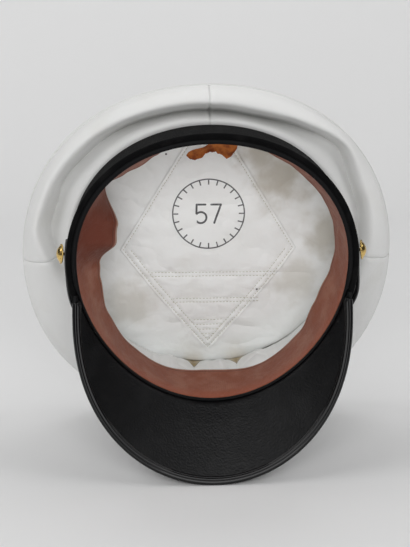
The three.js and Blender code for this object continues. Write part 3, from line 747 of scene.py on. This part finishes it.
turn = above.math("ARCTAN2", right) * (MARK["ticks"] / 2)
spoke = abs(turn.math("SINE") * away * (2 / MARK["ticks"]))
tick = spoke.math("MAXIMUM", abs(away - MARK["ring"] + MARK["tick"] / 2) - MARK["tick"] / 2)
bowl = abs(apart(right, above, (-5.4, -2.7)) - 3.9)
bowl = bowl + (right + 8.2).step(0, -0.4) * 9
five = stroke((-8.3, 6.6), (-2.2, 6.6)).math("MINIMUM", stroke((-8.3, 6.6), (-8.5, 0.2)))
seven = stroke((1.9, 6.6), (8.6, 6.6)).math("MINIMUM", stroke((8.6, 6.6), (4.0, -6.6)))
number = five.math("MINIMUM", bowl).math("MINIMUM", seven)
dial = line(abs(away - MARK["ring"])).math("MAXIMUM", line(tick))
ink = dial.math("MAXIMUM", line(number, PEN["bold"]))
ink = ink * (printed.noise(1.6, 3).step(0.25, 0.42) * 0.35 + 0.6)
printed.set(Base_Color=printed.mix(ink, tint, (0.03, 0.03, 0.035)))
patch.data.materials.append(printed.material)
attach(patch, "root")
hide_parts("lining_patch")


def evenly(route, pitch):
    """Places a pitch apart along a route, and the way it runs at each."""
    route = np.asarray(route, float)
    runs = np.diff(route, axis=0)
    steps = np.linalg.norm(runs, axis=1)
    length = np.concatenate([[0], np.cumsum(steps)])
    at = np.arange(pitch / 2, length[-1], pitch)
    run = np.searchsorted(length, at) - 1
    ways = runs[run] / steps[run][:, None]
    return route[run] + ways * (at - length[run])[:, None], ways


def stitches(name, places, ways, outs, length, thick):
    """Stitches of thread: short rounded bars along their row, which dive in at both ends."""
    turns = np.linspace(0, 2 * np.pi, 6, endpoint=False)
    along = np.array([-1, -0.85, -0.4, 0.4, 0.85, 1])[:, None, None]
    plump = np.array([0.4, 0.8, 1, 1, 0.8, 0.4])[:, None, None] * thick / 2
    places, ways, outs = (part[:, None, None] for part in (places, ways, outs))
    sides = np.cross(ways, outs)
    round_out = sides * np.cos(turns)[None, None, :, None] + outs * np.sin(turns)[None, None, :, None]
    bars = places + ways * along * length / 2 - outs * along**4 * thick * 0.8 + round_out * plump
    ring, turn = np.meshgrid(np.arange(5), np.arange(6), indexing="ij")
    beside = (turn + 1) % 6
    corners = (ring * 6 + turn, ring * 6 + beside, ring * 6 + beside + 6, ring * 6 + turn + 6)
    ends = [[0, 1, 2, 3], [0, 3, 4, 5], [30, 31, 32, 33], [30, 33, 34, 35]]
    faces = np.concatenate([np.stack(corners, -1).reshape(-1, 4), ends])
    offsets = np.arange(len(bars))[:, None, None] * 36
    return piece(name, bars.reshape(-1, 3), (faces + offsets).reshape(-1, 4))


thread = Finish("beige thread", {"Roughness": 0.7})
twist = thread.noise(0.5, 1)
thread.set(Base_Color=thread.mix(twist, (0.46, 0.45, 0.36), (0.66, 0.65, 0.56)))
flat = [evenly(route, STITCH["pitch"]) for route in ROWS]
places, ways = (np.concatenate(parts) for parts in zip(*flat))
height = laid_height(places[:, 0], places[:, 1]) - LAID["thickness"]
places, ways = np.column_stack([places, height]), np.column_stack([ways, 0 * height])
downward = np.broadcast_to([0.0, 0.0, -1.0], places.shape)
sewing = stitches("lining_stitches", places, ways, downward, STITCH["length"], STITCH["thick"])
sewing.data.materials.append(thread.material)
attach(sewing, "root")

# ---- sweatband ----
# A strip of brown leather sewn inside the lower edge of the band. Its free upper edge leans into
# the head opening and has a narrow rolled hem; on the wearer's left it has come loose and folds in.
# The grain is rubbed in patches all round, and short marks are pressed into it at the front.

SWEATBAND = {"thickness": 1.2, "width": 34.5, "foot": 3.6, "out": 0.9}
LEAN = table(
    "angle lean",
    (-180, 7.0),
    (-168, 8.4),
    (-160, 7.0),
    (-146, 8.2),
    (-130, 7.6),
    (-118, 6.2),
    (-106, 4.8),
    (-95, 4.4),
    (-84, 5.6),
    (-74, 7.2),
    (-64, 6.6),
    (-48, 2.2),
    (-24, 1.2),
    (0, 6.0),
    (24, 1.8),
    (42, 2.5),
    (60, 5.5),
    (80, 12.0),
    (88, 14.0),
    (104, 26.5),
    (113, 25.0),
    (127, 6.0),
    (136, 9.5),
    (146, 11.5),
    (153, 10.0),
    (162, 6.5),
    (180, 7.0),
)


def eased(rows, name, degrees):
    """A column of a table by angle, with no kink at its rows."""
    after = np.clip(np.searchsorted(rows["angle"], degrees), 1, len(rows["angle"]) - 1)
    low, high = rows["angle"][after - 1], rows["angle"][after]
    first, last = rows[name][after - 1], rows[name][after]
    return first + (last - first) * soft_step(degrees, low, high)


angle, share = grid(660, 38)
lean = eased(LEAN, "lean", np.degrees(angle))
radius = outline(HEAD, angle) + SWEATBAND["out"] - lean * share**1.5
middle = around(radius, angle, SWEATBAND["foot"] + np.sqrt(SWEATBAND["width"] ** 2 - lean**2) * share)
loose = share * (1 - 0.4 * share)
creases = 0.75 * bumps(middle * [1, 1, 0.6], 13, 31) + 0.3 * bumps(middle * [1, 1, 0.35], 5, 32)
middle = middle + facing_of(middle, ring=True) * (creases * loose)[..., None]
thick = SWEATBAND["thickness"] * (1 + 0.25 * soft_step(share, 0.94, 1))
sweatband = shell("sweatband_leather", middle, thick, ring=True)

leather = Finish("brown leather", {"Specular_IOR_Level": 0.25})
x, y, _ = leather.worn()
along, across = leather.cloth()
front = (abs(x) + y * 0.4).step(30, -40)
foot = across.step(13, 1)
cut_edge = across.step(33.6, 34.4)
hem = (abs(across - 32.6) - 0.2).step(0.6, 0)
# Painted shade darkens the loose part that folds in on the wearer's left.
painted_lobe_shade = apart(x, y, (80, 24)).step(34, 12)
rubbed = leather.noise(14, 4).step(0.4, 0.7)
tint = leather.mix(rubbed, (0.265, 0.085, 0.047), (0.33, 0.135, 0.088))
tint = leather.mix(foot * 0.75, tint, (0.34, 0.085, 0.038))
tint = leather.mix(leather.noise(2.4, 4).step(0.62, 0.75) * 0.4, tint, (0.10, 0.04, 0.03))
tint = leather.mix(painted_lobe_shade * 0.8, tint, (0.13, 0.032, 0.02))
tint = leather.mix(hem * 0.4, tint, (0.075, 0.035, 0.028))
tint = leather.mix(cut_edge * 0.75, tint, (0.46, 0.34, 0.28))
leather.set(Base_Color=tint, Roughness=leather.noise(3, 3) * 0.25 + 0.38)
marks = along.wave(1.5).step(0.1, 0.9) * across.step(8, 11) * across.step(29, 26) * front
grain = leather.node("TexVoronoi", None, {"Vector": leather.place(), "Scale": 1 / 1.1}, "Distance")
leather.relief(grain * 0.12 + leather.noise(7, 3, (1, 0.5, 1)) * 1.4 - marks * 0.16 - hem * 0.25)
sweatband.data.materials.append(leather.material)
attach(sweatband, "root")
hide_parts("sweatband")

# ---- sweatband flap ----
# A scrap torn from the back of the sweatband shows the raw orange flesh side of its leather. It
# hangs by one half, its other half torn free, and has a ragged, fraying edge.

FLAP = {"thickness": 1.0, "root": 80.9, "up": 35.2, "droop": 1.5}
TORN = table(
    "angle free reach",
    (167.5, 6.4, 7.4),
    (169, 4.8, 9.6),
    (171, 4.0, 10.4),
    (176, 3.2, 9.6),
    (177.5, 2.4, 7.2),
    (179.5, 0.6, 6.2),
    (183, 0.0, 6.2),
    (186, 0.0, 7.4),
    (189, 0.0, 10.2),
    (191, 0.0, 8.0),
    (193, 0.0, 2.5),
)

angle, share = grid(240, 26, 167.5, 193)
free, reach = (np.interp(np.degrees(angle), TORN["angle"], TORN[name]) for name in ("free", "reach"))
fray = 0.5 * bumps(around(80.0, angle, 0.0), 1.3, 41) + 0.5 * bumps(around(80.0, angle, 0.0), 3.1, 42)
radius = FLAP["root"] - free - (reach - free + fray) * share
middle = around(radius, angle, FLAP["up"] + FLAP["droop"] * np.sin(np.pi * share))
middle[..., 2] += (0.5 * bumps(middle, 4.5, 43) + 0.15 * bumps(middle, 1.4, 44)) * share
thin = FLAP["thickness"] * (1 - 0.55 * share**2) * (0.85 + 0.15 * bumps(middle, 2, 45))
flap = shell("torn_flap", middle, thin, facing=(0, 0, -1))

flesh = Finish("raw leather", {"Roughness": 0.9, "Specular_IOR_Level": 0.2})
scorched = flesh.noise(5, 4).step(0.42, 0.66)
tint = flesh.mix(scorched, (0.47, 0.155, 0.04), (0.26, 0.075, 0.025))
flesh.set(Base_Color=flesh.mix(flesh.noise(1.2, 4).step(0.6, 0.8) * 0.5, tint, (0.58, 0.3, 0.14)))
flesh.relief(flesh.noise(0.9, 4) * 0.4 + flesh.noise(3.5, 2) * 0.5)
flap.data.materials.append(flesh.material)
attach(flap, "root")
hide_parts("sweatband_flap")

# ---- peak ----
# A stiff board faced with fine-grained black leather. Its flange stands up between band and
# sweatband, and the board turns out from it and slopes down to a bound edge.

PEAK = {"half_angle": 86, "end": 82, "reach": 55.1, "shape": 1.36, "slope": 37, "flange": 0.9, "board": 1.8}
PEAK_ROOT = {"out": 2.3, "up": -0.88, "flange_top": 6, "bend": 0.5, "share": 0.12}
SLOPE = np.radians(PEAK["slope"])


def peak_reach(angle):
    """How far the peak reaches down its slope at each angle."""
    turn = angle / np.radians(PEAK["half_angle"]) * np.pi / 2
    return PEAK["reach"] * np.maximum(0, np.cos(turn)) ** PEAK["shape"]


def on_peak(angle, distance, off=0.0):
    """Places on the peak's middle, or a little off it, by distance down the slope from its root."""
    out = PEAK_ROOT["out"] + distance * np.cos(SLOPE) + off * np.sin(SLOPE)
    up = PEAK_ROOT["up"] - distance * np.sin(SLOPE) + off * np.cos(SLOPE)
    return around(outline(HEAD, angle) + out, angle, up)


angle, share = grid(330, 44, -PEAK["end"], PEAK["end"])
root = PEAK_ROOT["share"]
flange = -(PEAK_ROOT["flange_top"] - PEAK_ROOT["up"])
run = np.where(share < root, flange * (1 - share / root), (share - root) / (1 - root) * peak_reach(angle))
bent = PEAK_ROOT["bend"] * np.logaddexp(0, run / PEAK_ROOT["bend"])
middle = around(
    outline(HEAD, angle) + PEAK_ROOT["out"] + bent * np.cos(SLOPE),
    angle,
    PEAK_ROOT["up"] - run + bent * (1 - np.sin(SLOPE)),
)
thick = PEAK["flange"] + (PEAK["board"] - PEAK["flange"]) * soft_step(share, root, 0.4)
peak = shell("peak_board", middle, thick)

peak_leather = Finish("black grained leather", {"Specular_IOR_Level": 0.18})
cells = {"Vector": peak_leather.place(), "Scale": 1 / 1.1, "Randomness": 1.0}
grain = peak_leather.node("TexVoronoi", {"feature": "SMOOTH_F1"}, cells, "Distance")
rubbed = peak_leather.noise(17, 4).step(0.45, 0.75)
peak_leather.set(Base_Color=peak_leather.mix(rubbed, (0.003, 0.003, 0.0035), (0.0065, 0.0065, 0.007)))
peak_leather.set(Roughness=peak_leather.noise(2, 3) * 0.3 + 0.26)
peak_leather.relief(grain * 0.18 + peak_leather.noise(0.5, 2) * 0.05 + peak_leather.noise(8, 2) * 0.12)
peak.data.materials.append(peak_leather.material)
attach(peak, "root")
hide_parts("peak")

# ---- peak binding ----
# A strip of black patent leather folded over the edge of the board, rounded at the nose and sewn
# through near its inner edge, where a groove is pressed along the stitches.

BOUND = {"leg": 3.8, "wall": 0.9, "slot": 1.2, "nose": 1.6, "end": 79.5}
CLEAR = {"over": 2.8, "under": 0.5}
SEWN = {"end": 76, "share": 0.78, "pitch": 2.6, "length": 1.9, "thick": 0.5}

angle, _ = grid(360, 1, -BOUND["end"], BOUND["end"])
reach = peak_reach(angle)
over = np.maximum(np.minimum(BOUND["leg"], reach - CLEAR["over"]), 0.4)
under = np.maximum(np.minimum(BOUND["leg"], reach - CLEAR["under"]), 0.6)
off = BOUND["slot"] + BOUND["wall"] / 2
leg = np.linspace(1, 0, 18, endpoint=False)[:, None]
turn = np.linspace(np.pi / 2, -np.pi / 2, 12)[:, None]
along = np.concatenate([
    -leg * over,
    (BOUND["nose"] - BOUND["wall"] / 2) * np.cos(turn) + np.zeros_like(angle),
    -leg[::-1] * under,
])
plump = 0.6 * np.sin(np.pi * np.clip((1 - leg) * 1.25, 0, 1))
plump = plump - 0.3 * bell(leg - SEWN["share"], 0.1)
lift = np.concatenate([off + plump, off * np.sin(turn), -(off + plump)[::-1]])
middle = on_peak(angle, reach + along, np.broadcast_to(lift, along.shape))
middle[..., 1] = np.maximum(middle[..., 1], BOUND["wall"] / 2 - MOUTH_Z)
edge = shell("peak_edge", middle, BOUND["wall"])

patent = Finish("black patent leather", {"Coat_Weight": 0.5, "Coat_Roughness": 0.04})
patent.set(Base_Color=(0.003, 0.003, 0.0035), Specular_IOR_Level=0.05)
patent.set(Roughness=patent.noise(3, 3) * 0.2 + 0.3)
patent.relief(patent.noise(5, 3) * 0.08 + patent.noise(0.7, 3) * 0.015)
edge.data.materials.append(patent.material)
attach(edge, "root")
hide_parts("peak_binding")

black_thread = Finish("black thread", {"Roughness": 0.6, "Specular_IOR_Level": 0.15})
twist = black_thread.noise(0.6, 1)
black_thread.set(Base_Color=black_thread.mix(twist, (0.012, 0.012, 0.012), (0.025, 0.025, 0.026)))
angle = np.radians(np.linspace(-SEWN["end"], SEWN["end"], 900))
reach = peak_reach(angle)
inner = reach - SEWN["share"] * np.minimum(BOUND["leg"], reach - CLEAR["under"])
for name, off in (("binding_stitches_below", -1), ("binding_stitches_above", 1)):
    row = on_peak(angle, inner, off * (BOUND["slot"] + BOUND["wall"] + 0.02))
    places, ways = evenly(row, SEWN["pitch"])
    around_here = np.arctan2(places[:, 0], -places[:, 1])
    outs = around(np.sin(SLOPE), around_here, np.cos(SLOPE)) * off
    sewing = stitches(name, places, ways, outs, SEWN["length"], SEWN["thick"])
    sewing.data.materials.append(black_thread.material)
    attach(sewing, "root")

# ---- chin strap ----
# A strip of black leather with rounded ends, pressed along both edges, lies across the front of the
# band above the peak. A button holds each end, and it stands off the band a little beside them.

STRAP = {"thickness": 2.2, "out": 6.7, "low": 4.5, "high": 18.5, "end": 103, "slack_span": 8.5}
STRAP_SLACK = ((78, 1.6), (-80, 3.4))
TIP = np.radians(6)

reach = np.radians(STRAP["end"])
tip = TIP * np.sin(np.linspace(0, np.pi / 2, 16, endpoint=False)) ** 2
angle = np.concatenate([tip - reach, np.linspace(TIP - reach, reach - TIP, 330), reach - tip[::-1]])[None, :]
slack = 0
for place, size in STRAP_SLACK:
    slack = slack + size * bell(np.degrees(angle) - place, STRAP["slack_span"])
radius = outline(HEAD, angle) + STRAP["out"] + slack
half = (STRAP["high"] - STRAP["low"]) / 2
from_tip = np.minimum((reach - np.abs(angle)) * radius, half)
round_end = np.sqrt(half**2 - (half - from_tip) ** 2) + 0.15
across = np.linspace(-1, 1, 21)[:, None]
height = (STRAP["low"] + STRAP["high"]) / 2 + across * np.minimum(round_end, half)
pressed = 0.28 * bell(np.abs(across) - 0.72, 0.07) * np.minimum(from_tip / half, 1)
thick = STRAP["thickness"] * (1 - 0.35 * across**8) - 2 * pressed
middle = around(radius, angle, height)
strap = shell("strap", middle, thick)

strap_leather = Finish("black strap leather", {"Coat_Weight": 0.25, "Coat_Roughness": 0.2})
strap_leather.set(Base_Color=(0.011, 0.011, 0.012), Roughness=strap_leather.noise(4, 4) * 0.3 + 0.22)
strap_leather.relief(strap_leather.noise(0.9, 3) * 0.06 + strap_leather.noise(6, 3) * 0.15)
strap.data.materials.append(strap_leather.material)
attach(strap, "root")
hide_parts("chin_strap")

# ---- strap buttons ----
# Each end of the strap turns on a small gilt button: a pressed dome with a milled rim, closed at the
# back by a plate with a shank that goes through strap and band.

BUTTON = {"angle": 97, "up": 12, "base": 9.5, "radius": 6.6, "height": 3.8, "tilt": 12}
SHANK = {"radius": 1.1, "length": 7.9}

gilt = Finish("gilt brass", {"Metallic": 1.0})
dull = gilt.noise(2.2, 4).step(0.5, 0.75)
gilt.set(Base_Color=gilt.mix(dull, (0.80, 0.56, 0.19), (0.42, 0.26, 0.09)), Roughness=dull * 0.3 + 0.22)
gilt.relief(gilt.noise(1.2, 3) * 0.05)

wide, high = BUTTON["radius"], BUTTON["height"]
profile = np.array([
    (0.02, -SHANK["length"]),
    (SHANK["radius"] - 0.2, -SHANK["length"]),
    (SHANK["radius"], -SHANK["length"] + 0.2),
    (SHANK["radius"], -0.1),
    (SHANK["radius"] + 0.1, 0.0),
    (wide - 0.7, 0.0),
    (wide - 0.25, 0.12),
    (wide, 0.5),
    (wide - 0.05, 0.9),
    (wide - 0.35, 1.2),
    (wide - 0.75, 1.28),
    (wide - 0.95, 1.2),
    (wide - 1.1, 1.3),
    (wide - 1.4, 1.65),
    (wide * 0.68, 2.25),
    (wide * 0.55, 2.8),
    (wide * 0.4, 3.3),
    (wide * 0.22, 3.66),
    (wide * 0.1, 3.77),
    (0.02, high),
])
for name, node, side in (("gilt_button_left", "button_left", 1), ("gilt_button_right", "button_right", -1)):
    turn = np.linspace(0, 2 * np.pi, 96, endpoint=False)[None, :]
    out, up = profile[:, :1], profile[:, 1:]
    milled = 0.14 * np.sign(np.sin(48 * turn)) * bell(out - wide + 0.3, 0.3) * (up > 0.2)
    spin = side * np.radians(BUTTON["angle"])
    spoke = (out + milled)[..., None]
    tilt = np.radians(BUTTON["tilt"])
    sideways = np.array([np.cos(spin), np.sin(spin), 0])
    outward = np.cos(tilt) * np.array([np.sin(spin), -np.cos(spin), 0]) - np.sin(tilt) * np.array([0, 0, 1])
    upward = np.cross(sideways, -outward)
    rounded = spoke * (np.cos(turn)[..., None] * sideways + np.sin(turn)[..., None] * upward)
    foot = around(outline(HEAD, spin) + BUTTON["base"], spin, BUTTON["up"])
    places = foot + rounded + up[..., None] * outward
    wrap = np.linspace(0, 2 * np.pi * wide, 97)
    outer = np.ones(len(profile))
    button = skin(name, places, wrap, np.cumsum(outer), outer, ring=True, hub=True)
    button.data.materials.append(gilt.material)
    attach(button, "root")
    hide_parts(node)

# ---- paper sweep ----
# The cap stands on a wide sheet of pale paper, which curves up low behind it as a plain
# background and ends there, so that it doesn't hide the back of the cap.

SWEEP = {"front": -3.2, "bend": 0.55, "radius": 0.5, "rise": 65, "half": 3.0}

turn = np.radians(np.linspace(0, SWEEP["rise"], 25))
back = SWEEP["bend"] + SWEEP["radius"] * np.sin(turn)
rise = SWEEP["radius"] * (1 - np.cos(turn))
profile = [(SWEEP["front"], 0.0), *zip(back, rise)]
places = [(x, y, z) for y, z in profile for x in (-SWEEP["half"], SWEEP["half"])]
faces = [(2 * k, 2 * k + 1, 2 * k + 3, 2 * k + 2) for k in range(len(profile) - 1)]
mesh = bpy.data.meshes.new("paper_sweep")
mesh.from_pydata(places, [], faces)
mesh.shade_smooth()
sweep = bpy.data.objects.new("paper_sweep", mesh)
bpy.context.scene.collection.objects.link(sweep)
paper = Finish("pale paper", {"Base_Color": (0.82, 0.82, 0.82), "Roughness": 0.9})
mesh.materials.append(paper.material)

# ---- lights ----
# Soft studio light: broad lamps high and low in front, one over each side, and one overhead at the
# back, which lights the paper behind. The room itself is nearly dark.

AIM = (0, 0, 0.1)


def turned_to(thing, target):
    """Turns a lamp or camera to face a place."""
    way = Vector(target) - thing.location
    thing.rotation_euler = way.to_track_quat("-Z", "Y").to_euler()


for name, place, size, watts in (
    ("overhead_back", (0, 0.8, 1.4), (1.8, 0.8), 7.5),
    ("left_top", (-1.1, -0.1, 1.2), (1.0, 1.0), 8.3),
    ("right_top", (1.1, -0.1, 1.2), (1.0, 1.0), 7.0),
    ("front_high", (-0.1, -1.75, 1.25), (1.8, 0.9), 17.6),
    ("front_low", (-0.1, -1.8, 0.35), (1.4, 0.5), 5.0),
):
    light = bpy.data.lights.new(name, "AREA")
    light.shape = "RECTANGLE"
    light.size, light.size_y = size
    light.energy = watts
    lamp = bpy.data.objects.new(name, light)
    lamp.location = place
    lamp.visible_camera = False
    turned_to(lamp, AIM)
    bpy.context.scene.collection.objects.link(lamp)

room = bpy.data.worlds.new("studio")
room.use_nodes = True
room.node_tree.nodes["Background"].inputs["Color"].default_value = (1, 1, 1, 1)
room.node_tree.nodes["Background"].inputs["Strength"].default_value = 0.02
bpy.context.scene.world = room
bpy.context.scene.view_settings.view_transform = "Standard"

# ---- camera ----
# A long lens looks down a little into the mouth of the cap, from a bit to the wearer's left of its
# middle.

camera = bpy.data.objects.new("camera", bpy.data.cameras.new("camera"))
camera.data.lens = 86.74
camera.location = (-0.0442, -0.8567, 0.4137)
turned_to(camera, (-0.0053, -0.0326, 0.1376))
bpy.context.scene.collection.objects.link(camera)
bpy.context.scene.camera = camera
